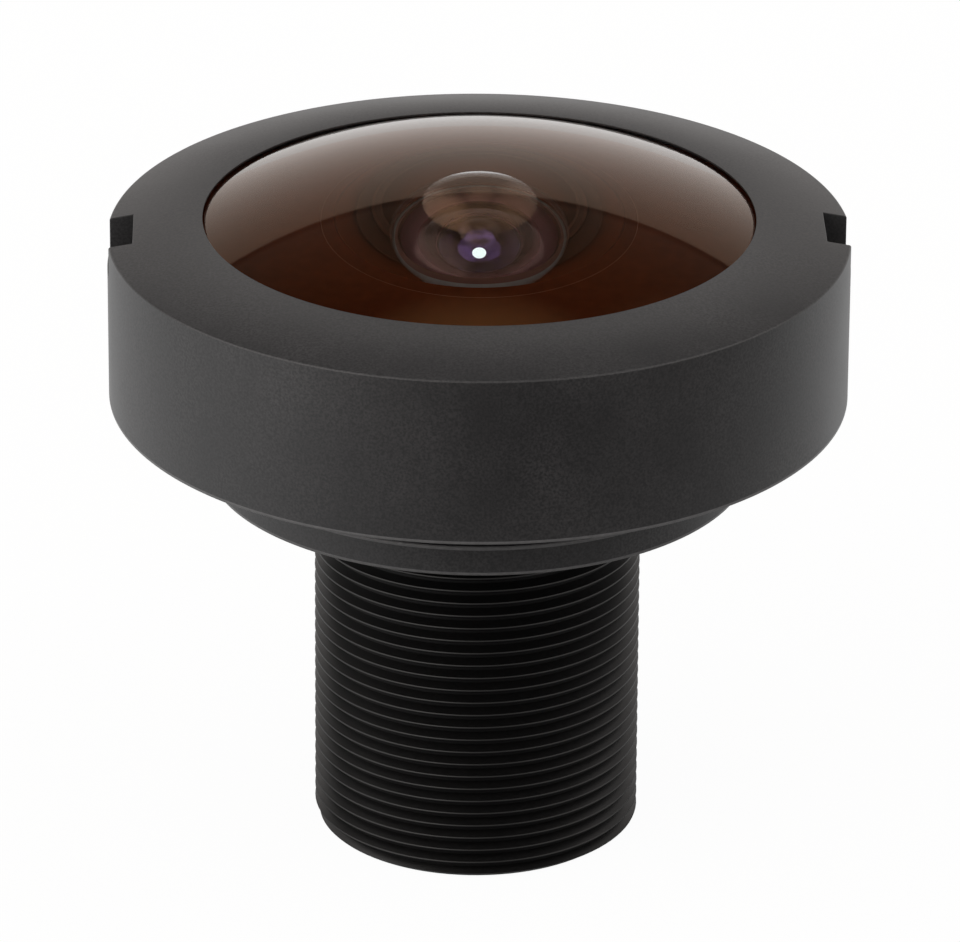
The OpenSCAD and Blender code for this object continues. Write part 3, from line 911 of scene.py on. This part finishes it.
world = bpy.data.worlds.new("studio")
bpy.context.scene.world = world
world.use_nodes = True
sky = world.node_tree
sky.nodes.clear()
direction = add(sky, "TexCoord").outputs["Generated"]
aside = add(sky, "SeparateXYZ", inputs={0: direction}).outputs["X"]
far_aside = add(sky, "Math", {"operation": "ABSOLUTE"}, {0: aside})
rise = add(sky, "VectorMath", {"operation": "DOT_PRODUCT"}, {
    0: direction, 1: (0, EDGE_SLOPE, -1)})
below_edge = add(sky, "Math", {"operation": "MULTIPLY_ADD"}, {
    0: far_aside.outputs[0], 1: EDGE_BOW, 2: rise.outputs["Value"]}).outputs[0]
steep = add(sky, "Math", {"operation": "MULTIPLY_ADD"}, {
    0: below_edge, 1: CLOTH_CURVE, 2: CLOTH_GAIN})
cloth = add(sky, "Math", {"operation": "MULTIPLY_ADD"}, {
    0: steep.outputs[0], 1: below_edge, 2: CLOTH_LEVEL})
covered = add(sky, "MapRange", {"interpolation_type": "SMOOTHSTEP"}, {
    "Value": below_edge, "From Min": 0.004, "From Max": 0.028})
backdrop = add(sky, "Math", {"operation": "MULTIPLY"}, {0: cloth.outputs[0], 1: covered.outputs[0]})
above_edge = add(sky, "MapRange", inputs={
    "Value": below_edge, "From Min": -0.8, "From Max": 0.01, "To Max": SPILL_LEVEL})
bar = add(sky, "MapRange", inputs={
    "Value": below_edge, "From Min": -0.032, "From Max": -0.008,
    "To Min": 1.0, "To Max": BAR_SHADE})
spill = add(sky, "Math", {"operation": "MULTIPLY"}, {0: above_edge.outputs[0], 1: bar.outputs[0]})


def soft_box(towards, edge, middle, level):
    """Light that grows smoothly from an edge to a middle, both as the cosine off its direction."""
    facing = add(sky, "VectorMath", {"operation": "DOT_PRODUCT"}, {
        0: direction, 1: Vector(towards).normalized()})
    return add(sky, "MapRange", {"interpolation_type": "SMOOTHSTEP"}, {
        "Value": facing.outputs["Value"], "From Min": edge, "From Max": middle, "To Max": level})


room = backdrop
for box in (
    spill,
    soft_box((0, 0, 1), 0.88, 1.02, 0.85),
    soft_box((-0.92, -0.46, 0.33), 0.45, 0.9, 1.5),
    soft_box((1, -0.25, 0.4), 0.4, 0.9, 0.85),
    soft_box((0, -0.75, 0.66), 0.75, 0.95, 0.6),
):
    room = add(sky, "Math", {"operation": "MAXIMUM"}, {0: room.outputs[0], 1: box.outputs[0]})
looked_at = add(sky, "LightPath").outputs["Is Camera Ray"]
seen = add(sky, "Math", {"operation": "MAXIMUM"}, {0: room.outputs[0], 1: looked_at})
warmth = add(sky, "Mix", {"data_type": "RGBA"}, {
    "Factor": looked_at, "A": colour("#fffaf7"), "B": colour("#ffffff")})
glow = add(sky, "Background", inputs={
    "Color": warmth.outputs["Result"], "Strength": seen.outputs[0]})
add(sky, "OutputWorld", inputs={"Surface": glow.outputs[0]})
print("world nodes:", len(sky.nodes))

# %% [markdown]
# ## Floor
# The floor is a sheet of white paper, a hundredth of a millimetre below the lens, so that the two
# don't show in one place. It keeps a soft shadow, while to the camera it is mostly plain white.
# Seen in the black metal it is bright behind the lens and to its left, fades towards the camera,
# and is dim close by, where the ring shades it. From underneath it is clear, so that the rear end
# can be looked at.

# %% Floor
FLOOR_DROP, FLOOR_HALF = 0.01 * MM, 2.0
BRIGHT_BOW, BRIGHT_LEAN = 0.3, -0.5
SHADE_NEAR, WHITE_LEVEL, WHITE_SHARE = 0.3, 1.2, 0.8

floor_mesh = bmesh.new()
bmesh.ops.create_grid(
    floor_mesh, x_segments=1, y_segments=1, size=FLOOR_HALF,
    matrix=Matrix.Translation((0, 0, -FLOOR_DROP)))
floor_data = bpy.data.meshes.new("floor")
floor_mesh.to_mesh(floor_data)
floor_mesh.free()
floor = bpy.data.objects.new("floor", floor_data)
bpy.context.scene.collection.objects.link(floor)
paper = bpy.data.materials.new("paper_sweep_white")
paper.use_nodes = True
tree = paper.node_tree
tree.nodes.clear()
rays = add(tree, "LightPath")
spot = add(tree, "TexCoord").outputs["Object"]
along = add(tree, "SeparateXYZ", inputs={0: spot})
out_x = add(tree, "Math", {"operation": "ABSOLUTE"}, {0: along.outputs["X"]})
bowed = add(tree, "Math", {"operation": "MULTIPLY_ADD"}, {
    0: out_x.outputs[0], 1: BRIGHT_BOW, 2: along.outputs["Y"]})
behind = add(tree, "Math", {"operation": "MULTIPLY_ADD"}, {
    0: along.outputs["X"], 1: BRIGHT_LEAN, 2: bowed.outputs[0]})
lit_near = add(tree, "MapRange", inputs={
    "Value": behind.outputs[0], "From Min": -60 * MM, "From Max": 20 * MM, "To Max": 0.8})
lit_far = add(tree, "MapRange", inputs={
    "Value": along.outputs["Y"], "From Min": 60 * MM, "From Max": 160 * MM, "To Max": 0.2})
lit = add(tree, "Math", {"operation": "ADD"}, {0: lit_near.outputs[0], 1: lit_far.outputs[0]})
away = add(tree, "VectorMath", {"operation": "LENGTH"}, {0: spot})
shaded = add(tree, "MapRange", inputs={
    "Value": away.outputs["Value"], "From Min": 10 * MM, "From Max": 36 * MM, "To Min": SHADE_NEAR})
glossy_level = add(tree, "Math", {"operation": "MULTIPLY"}, {
    0: lit.outputs[0], 1: shaded.outputs[0]})

# %% Floor, by kind of ray
through = add(tree, "Math", {"operation": "MAXIMUM"}, {
    0: rays.outputs["Is Camera Ray"], 1: rays.outputs["Is Transmission Ray"]})
through_level = add(tree, "Math", {"operation": "MULTIPLY"}, {
    0: through.outputs[0], 1: WHITE_LEVEL})
bright = add(tree, "Math", {"operation": "MAXIMUM"}, {
    0: glossy_level.outputs[0], 1: through_level.outputs[0]})
camera_share = add(tree, "Math", {"operation": "MULTIPLY"}, {
    0: rays.outputs["Is Camera Ray"], 1: WHITE_SHARE})
mirrored = add(tree, "Math", {"operation": "MAXIMUM"}, {
    0: rays.outputs["Is Glossy Ray"], 1: rays.outputs["Is Transmission Ray"]})
white_share = add(tree, "Math", {"operation": "MAXIMUM"}, {
    0: mirrored.outputs[0], 1: camera_share.outputs[0]})
matt = add(tree, "BsdfDiffuse", inputs={"Color": colour("#909090")})
white = add(tree, "Emission", inputs={"Color": colour("#ffffff"), "Strength": bright.outputs[0]})
mixed = add(tree, "MixShader", inputs={
    0: white_share.outputs[0], 1: matt.outputs[0], 2: white.outputs[0]})
from_below = add(tree, "NewGeometry").outputs["Backfacing"]
clear = add(tree, "BsdfTransparent")
one_sided = add(tree, "MixShader", inputs={0: from_below, 1: mixed.outputs[0], 2: clear.outputs[0]})
add(tree, "OutputMaterial", inputs={"Surface": one_sided.outputs[0]})
floor_data.materials.append(paper)
print("floor:", paper.name, "with", len(tree.nodes), "nodes")

# %% [markdown]
# ## Render settings
# Light passes some sixteen glass faces on its way from the floor up through the lens, more than the
# usual limit, so the limits on bounces are raised.

# %% Render settings
GLASS_BOUNCES = 32

bpy.context.scene.cycles.max_bounces = GLASS_BOUNCES
bpy.context.scene.cycles.transmission_bounces = GLASS_BOUNCES
bpy.context.scene.view_settings.view_transform = "Standard"
